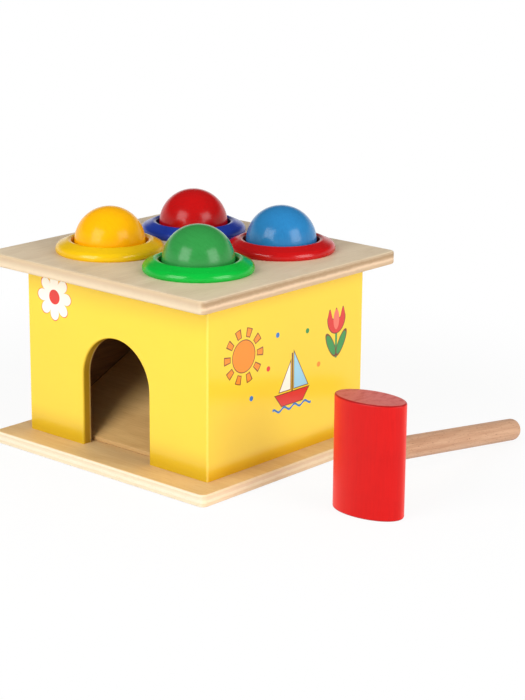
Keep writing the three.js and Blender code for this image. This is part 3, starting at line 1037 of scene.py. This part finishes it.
# Handle: a shaft whose radius waves a little, chamfered in the head and domed by a quarter ellipse at its end
def makeHandle(finish):
    radius = malletShape["handleRadius"]
    chamfer = malletShape["handleChamfer"]
    depth = handleDepth()
    reach = malletShape["handleReach"]
    turn = np.linspace(0, np.pi / 2, 12)
    dome = np.stack([radius * np.cos(turn), reach + malletShape["handleDome"] * np.sin(turn)], -1)
    shaft = np.linspace(-depth + chamfer, reach, 24, endpoint=False)
    wave = (1 + np.sin(shaft / malletShape["handleWave"])) / 2
    swell = radius * (1 - malletShape["handleSwell"] * wave)
    body = np.stack([swell, shaft], -1)
    start = np.array([(0, -depth), (radius - chamfer, -depth)])
    grid = turnHandle(np.concatenate([start, body, dome]), malletShape["handleSteps"])
    handle = makePiece("malletHandle", [(grid, False, True)])
    settle(handle, "mallet", "handle_beech", finish, "mallet_handle")


# Head: ellipses drawn in along a quarter round at both ends, with a blind hole along the handle's line
def makeHead(finish):
    low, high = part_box("mallet_head")
    middle = middleOf("mallet_head")
    ease = malletShape["ease"]
    curve = np.linspace(0, np.pi / 2, malletShape["easeSteps"] + 1)
    inset = ease * (1 - np.sin(curve))
    lift = ease * (1 - np.cos(curve))
    tall = high.z - low.z
    mid = np.linspace(ease, tall - ease, 12)[1:-1]
    cap = [malletShape["halfWidth"], ease + malletShape["endRing"]]
    drawn = np.concatenate([cap, inset, 0 * mid, inset[::-1], cap[::-1]])
    height = np.concatenate([[0, 0], lift, mid, tall - lift[::-1], [tall, tall]])
    angle = np.linspace(0, 2 * np.pi, malletShape["around"], endpoint=False)
    a = np.maximum(malletShape["halfWidth"] - drawn, 0)[:, None] * np.cos(angle)
    b = np.maximum(malletShape["halfDepth"] - drawn, 0)[:, None] * np.sin(angle)
    turn = malletShape["turn"]
    x = middle.x + a * math.cos(turn) - b * math.sin(turn)
    y = middle.y + a * math.sin(turn) + b * math.cos(turn)
    grid = np.stack([x, y, low.z + height[:, None] + 0 * a], -1)
    head = makePiece("malletHead", [(grid, False, True)])
    radius = malletShape["handleRadius"] + malletShape["gap"]
    depth = handleDepth() + malletShape["gap"]
    reach = malletShape["boreReach"]
    bore = np.array([(0, -depth), (radius, -depth), (radius, reach), (0, reach)])
    cutter = makePiece("handleBore", [(turnHandle(bore, malletShape["handleSteps"]), False, True)])
    cutOut(head, [cutter])
    bpy.data.objects.remove(cutter)
    settle(head, "mallet", "mallet_red", finish, "mallet_head")


# Bare beech: fibres along the handle's line and short dark flecks
def beechFinish(name, pale, dark, fleck):
    material, wire, shader = startFinish(name, Specular_IOR_Level=malletLook["beechShine"])
    start, side, up, along, slope = handleLine()
    turn = Matrix((side, up, along)).to_euler("XYZ")
    fibre = wire.noise(wire.coords((1.4, 1.4, 0.05), start, turn), 5, 0.6)
    band = wire.noise(wire.coords((0.35, 0.35, 0.012), start, turn), 2)
    dash = wire.noise(wire.coords((2.4, 2.4, 0.5), start, turn), 1).rise(0.63, 0.72)
    skin = wire.blend(pale, dark, (fibre * 0.55 + band * 0.6).rise(0.4, 0.85))
    skin = wire.blend(skin, fleck, dash * 0.55)
    rough = malletLook["beechGloss"] + (fibre - 0.5) * 0.2 + dash * 0.1
    joinShader(wire, shader, skin, rough, fibre - dash * 0.6, 0.07, 0.5)
    return material


# Wire steel: drawing lines along the shank and dull spots
def steelFinish(name):
    material, wire, shader = startFinish(name, Metallic=1)
    drawn = wire.noise(wire.coords((3, 3, 0.15)), 4)
    dull = wire.noise(wire.coords((0.9, 0.9, 0.9)), 2).rise(0.45, 0.7)
    skin = wire.blend(tint(170, 170, 174), tint(120, 116, 112), drawn.rise(0.3, 0.8) * 0.5 + dull * 0.3)
    joinShader(wire, shader, skin, 0.3 + dull * 0.25, drawn, 0.02, 0.4)
    return material


# Build

# (collar slot, grip slot, collar's tone, its shade, grip's tone)
collarColours = {
    "front_left": ("collar_yellow", "grip_yellow", tint(236, 190, 12), tint(222, 166, 6), tint(214, 164, 14)),
    "back_left": ("collar_blue", "grip_blue", tint(32, 62, 168), tint(20, 42, 132), tint(28, 52, 142)),
    "back_right": ("collar_red", "grip_red", tint(194, 16, 18), tint(168, 10, 14), tint(164, 16, 18)),
    "front_right": ("collar_green", "grip_green", tint(8, 180, 58), tint(4, 152, 42), tint(10, 148, 52)),
}
# (slot, tone, shade, shine)
ballColours = {
    "front_left": ("ball_orange", tint(250, 179, 6), tint(242, 160, 3), 0.15),
    "back_left": ("ball_red", tint(193, 16, 17), tint(162, 10, 13), 0.24),
    "back_right": ("ball_blue", tint(43, 127, 184), tint(33, 105, 162), 0.3),
    "front_right": ("ball_green", tint(50, 144, 68), tint(38, 124, 54), 0.28),
}

bores = makeBradBores()
lidLow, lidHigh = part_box("top_board")
baseLow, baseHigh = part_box("base_board")
lidThick = lidHigh.z - lidLow.z
baseThick = baseHigh.z - baseLow.z
rampTop = rampShape["shadeHeight"]
lidFinish = plyFinish("lidBirch", 1, *lidTones, lidPlies, lidHigh.z, lidThick)
baseFinish = plyFinish("baseBirch", 0, *baseTones, basePlies, baseHigh.z, baseThick)
rampFinish = plyFinish("rampBirch", 0, *rampTones, rampPlies, rampTop, rampTop)
sleeve = collarShape["seatGap"] + collarShape["gripWall"] + collarShape["boreGap"] + collarShape["sleeveWall"]
makeLid(sizeOf("ball_front_right").z / 2 + sleeve + collarShape["seatGap"], lidFinish)
makeBase([bores], baseFinish)
print("boards made")

makeFrontWall([bores], wallFinish("frontPaint", "front_wall", 1, -1, frontPrints))
for side, axis, outward, prints in (("back", 1, 1, None), ("left", 0, -1, None), ("right", 0, 1, toyPrints)):
    paint = wallFinish(f"{side}Paint", f"{side}_wall", axis, outward, prints)
    makePlainWall(f"{side}Wall", f"{side}_wall", axis, outward, [bores], paint)
print("walls made")

makeRamp(rampFinish)
makeLedger(rampFinish)
bpy.data.objects.remove(bores)
steel = steelFinish("bradSteel")
for number in range(1, bradShape["count"] + 1):
    makeBrad(number, steel)
print("ramp and brads made")

mouth = sizeOf("ball_front_right").z / 2 + collarShape["boreGap"] + collarShape["mouthFlare"]
for place in corners:
    collarSlot, gripSlot, collarTone, collarShade, gripTone = collarColours[place]
    centre = middleOf(f"collar_{place}")
    gloss = plasticLook["collarGloss"]
    makeCollar(place, plasticFinish(f"collarPlastic.{place}", collarTone, collarShade, gloss, centre, mouth))
    gloss = plasticLook["gripGloss"]
    makeGrip(place, plasticFinish(f"gripPlastic.{place}", gripTone, collarShade, gloss, centre, mouth))
    ballSlot, ballTone, ballShade, shine = ballColours[place]
    lean = (0, ballShape["lean"][place], 0)
    gloss = ballShape["gloss"]
    middle = middleOf(f"ball_{place}")
    finish = turnedPaint(f"ballPaint.{place}", ballTone, ballShade, middle, lean, gloss, shine)
    makeBall(place, ballSlot, finish)
print("collars, grips and balls made")

middle = middleOf("mallet_head")
gloss = malletLook["gloss"]
shine = malletLook["shine"]
makeHead(turnedPaint("headPaint", *malletLook["head"], middle, (0, 0, 0), gloss, shine, malletLook["ends"]))
makeHandle(beechFinish("handleBeech", *malletLook["beech"]))
print("mallet made")


# Floor, light and camera

studio = {
    "floorHalf": 4.0,
    "floorDrop": 0.05 * mm,
    "floorWhite": 0.9,
    "floorGlow": 0.9,
    "shadowNear": 130,
    "shadowFar": 300,
    "fill": 0.4,
    "ceiling": 0.05,
    "horizon": (0.12, 0.42),
    "boxDistance": 0.9,
    "frontAzimuth": -4.5,
    "frontElevation": 28,
    "frontPower": 5.6,
    "rightAzimuth": 93.5,
    "rightElevation": 24,
    "rightPower": 5.3,
    "boxWidth": 0.52,
    "boxHeight": 0.6,
    "aim": (0.03, 0, 0.05),
}


# Floor: white paper that glows where it is seen or mirrored, less so near the toy, where it keeps the shadow
def makeFloor():
    half = studio["floorHalf"]
    a = np.linspace(-half, half, 3)
    x, y = np.meshgrid(a, a, indexing="ij")
    sheet = np.stack([x, y, 0 * x - studio["floorDrop"]], -1)
    floor = makePiece("floor", [(sheet, False, False)], Vector((0, 0, 1)))
    material = bpy.data.materials.new("floorPaper")
    material.use_nodes = True
    tree = material.node_tree
    tree.nodes.clear()
    wire = Wire(tree)
    white = (studio["floorWhite"],) * 3 + (1,)
    paper = wire.add("BsdfDiffuse", {}, {"Color": white})
    glow = wire.add("Emission", {}, {"Color": (1, 1, 1, 1), "Strength": 1})
    away = wire.add("VectorMath", {"operation": "LENGTH"}, {0: wire.coords()}, "Value")
    far = away.rise(studio["shadowNear"], studio["shadowFar"])
    share = studio["floorGlow"] + (1 - studio["floorGlow"]) * far
    lit = wire.add("MixShader", {}, {0: share, 1: paper, 2: glow})
    seen = wire.add("LightPath", out="Is Camera Ray").most(wire.add("LightPath", out="Is Glossy Ray"))
    seen = seen.most(wire.add("LightPath", out="Is Transmission Ray"))
    both = wire.add("MixShader", {}, {0: seen, 1: paper, 2: lit})
    output = tree.nodes.new("ShaderNodeOutputMaterial")
    tree.links.new(both.socket, output.inputs["Surface"])
    floor.data.materials.append(material)


# A soft box aimed at the toy's middle; azimuth 0 stands before the door, 90 to its right
def makeSoftbox(name, azimuth, elevation, power):
    turn = math.radians(azimuth)
    lift = math.radians(elevation)
    away = Vector((math.sin(turn) * math.cos(lift), -math.cos(turn) * math.cos(lift), math.sin(lift)))
    light = bpy.data.lights.new(name, "AREA")
    light.shape = "RECTANGLE"
    light.size = studio["boxWidth"]
    light.size_y = studio["boxHeight"]
    light.energy = power
    lamp = bpy.data.objects.new(name, light)
    lamp.location = Vector(studio["aim"]) + away * studio["boxDistance"]
    lamp.rotation_euler = away.to_track_quat("Z", "Y").to_euler()
    bpy.context.scene.collection.objects.link(lamp)


# Room: an even fill, white to the eye; shiny surfaces see it white along the horizon and dark overhead
def makeWorld():
    world = bpy.data.worlds.new("whiteRoom")
    world.use_nodes = True
    bpy.context.scene.world = world
    tree = world.node_tree
    tree.nodes.clear()
    wire = Wire(tree)
    fill = wire.add("Background", {}, {"Color": (1, 1, 1, 1), "Strength": studio["fill"]})
    plain = wire.add("Background", {}, {"Color": (1, 1, 1, 1), "Strength": 1})
    dark = wire.add("Background", {}, {"Color": (1, 1, 1, 1), "Strength": studio["ceiling"]})
    up = wire.part(wire.add("TexCoord", out="Generated"), 2)
    mirrored = wire.add("MixShader", {}, {0: up.rise(*studio["horizon"]), 1: plain, 2: dark})
    lit = wire.add("MixShader", {}, {0: wire.add("LightPath", out="Is Glossy Ray"), 1: fill, 2: mirrored})
    both = wire.add("MixShader", {}, {0: wire.add("LightPath", out="Is Camera Ray"), 1: lit, 2: plain})
    output = tree.nodes.new("ShaderNodeOutputWorld")
    tree.links.new(both.socket, output.inputs["Surface"])


# Camera: fixed by its angles about the toy's origin, its distance and the origin's place in the view
view = {
    "azimuth": 41.4,
    "elevation": 15.813,
    "roll": 0.479,
    "right": -30.758 * mm,
    "up": -41.468 * mm,
    "distance": 949.2 * mm,
    "focalPixels": 2052.8,
    "imageHeight": 700,
    "sensor": 36,
    "near": 10 * mm,
}


# The axes come from the angles, then roll; the lens is the focal pixels times sensor over image height
def makeCamera():
    azimuth = math.radians(view["azimuth"])
    elevation = math.radians(view["elevation"])
    roll = math.radians(view["roll"])
    flat = math.cos(elevation)
    back = Vector((math.sin(azimuth) * flat, -math.cos(azimuth) * flat, math.sin(elevation)))
    right = Vector((math.cos(azimuth), math.sin(azimuth), 0))
    up = back.cross(right)
    right, up = right * math.cos(roll) + up * math.sin(roll), up * math.cos(roll) - right * math.sin(roll)
    camera = bpy.data.objects.new("camera", bpy.data.cameras.new("camera"))
    bpy.context.scene.collection.objects.link(camera)
    turn = Matrix((right, up, back)).transposed().to_4x4()
    place = back * view["distance"] - right * view["right"] - up * view["up"]
    camera.matrix_world = Matrix.Translation(place) @ turn
    camera.data.sensor_fit = "VERTICAL"
    camera.data.sensor_height = view["sensor"]
    camera.data.lens = view["focalPixels"] * view["sensor"] / view["imageHeight"]
    camera.data.clip_start = view["near"]
    bpy.context.scene.camera = camera


makeFloor()
makeSoftbox("frontBox", studio["frontAzimuth"], studio["frontElevation"], studio["frontPower"])
makeSoftbox("rightBox", studio["rightAzimuth"], studio["rightElevation"], studio["rightPower"])
makeWorld()
makeCamera()
bpy.context.scene.view_settings.view_transform = "Standard"
print("studio ready")
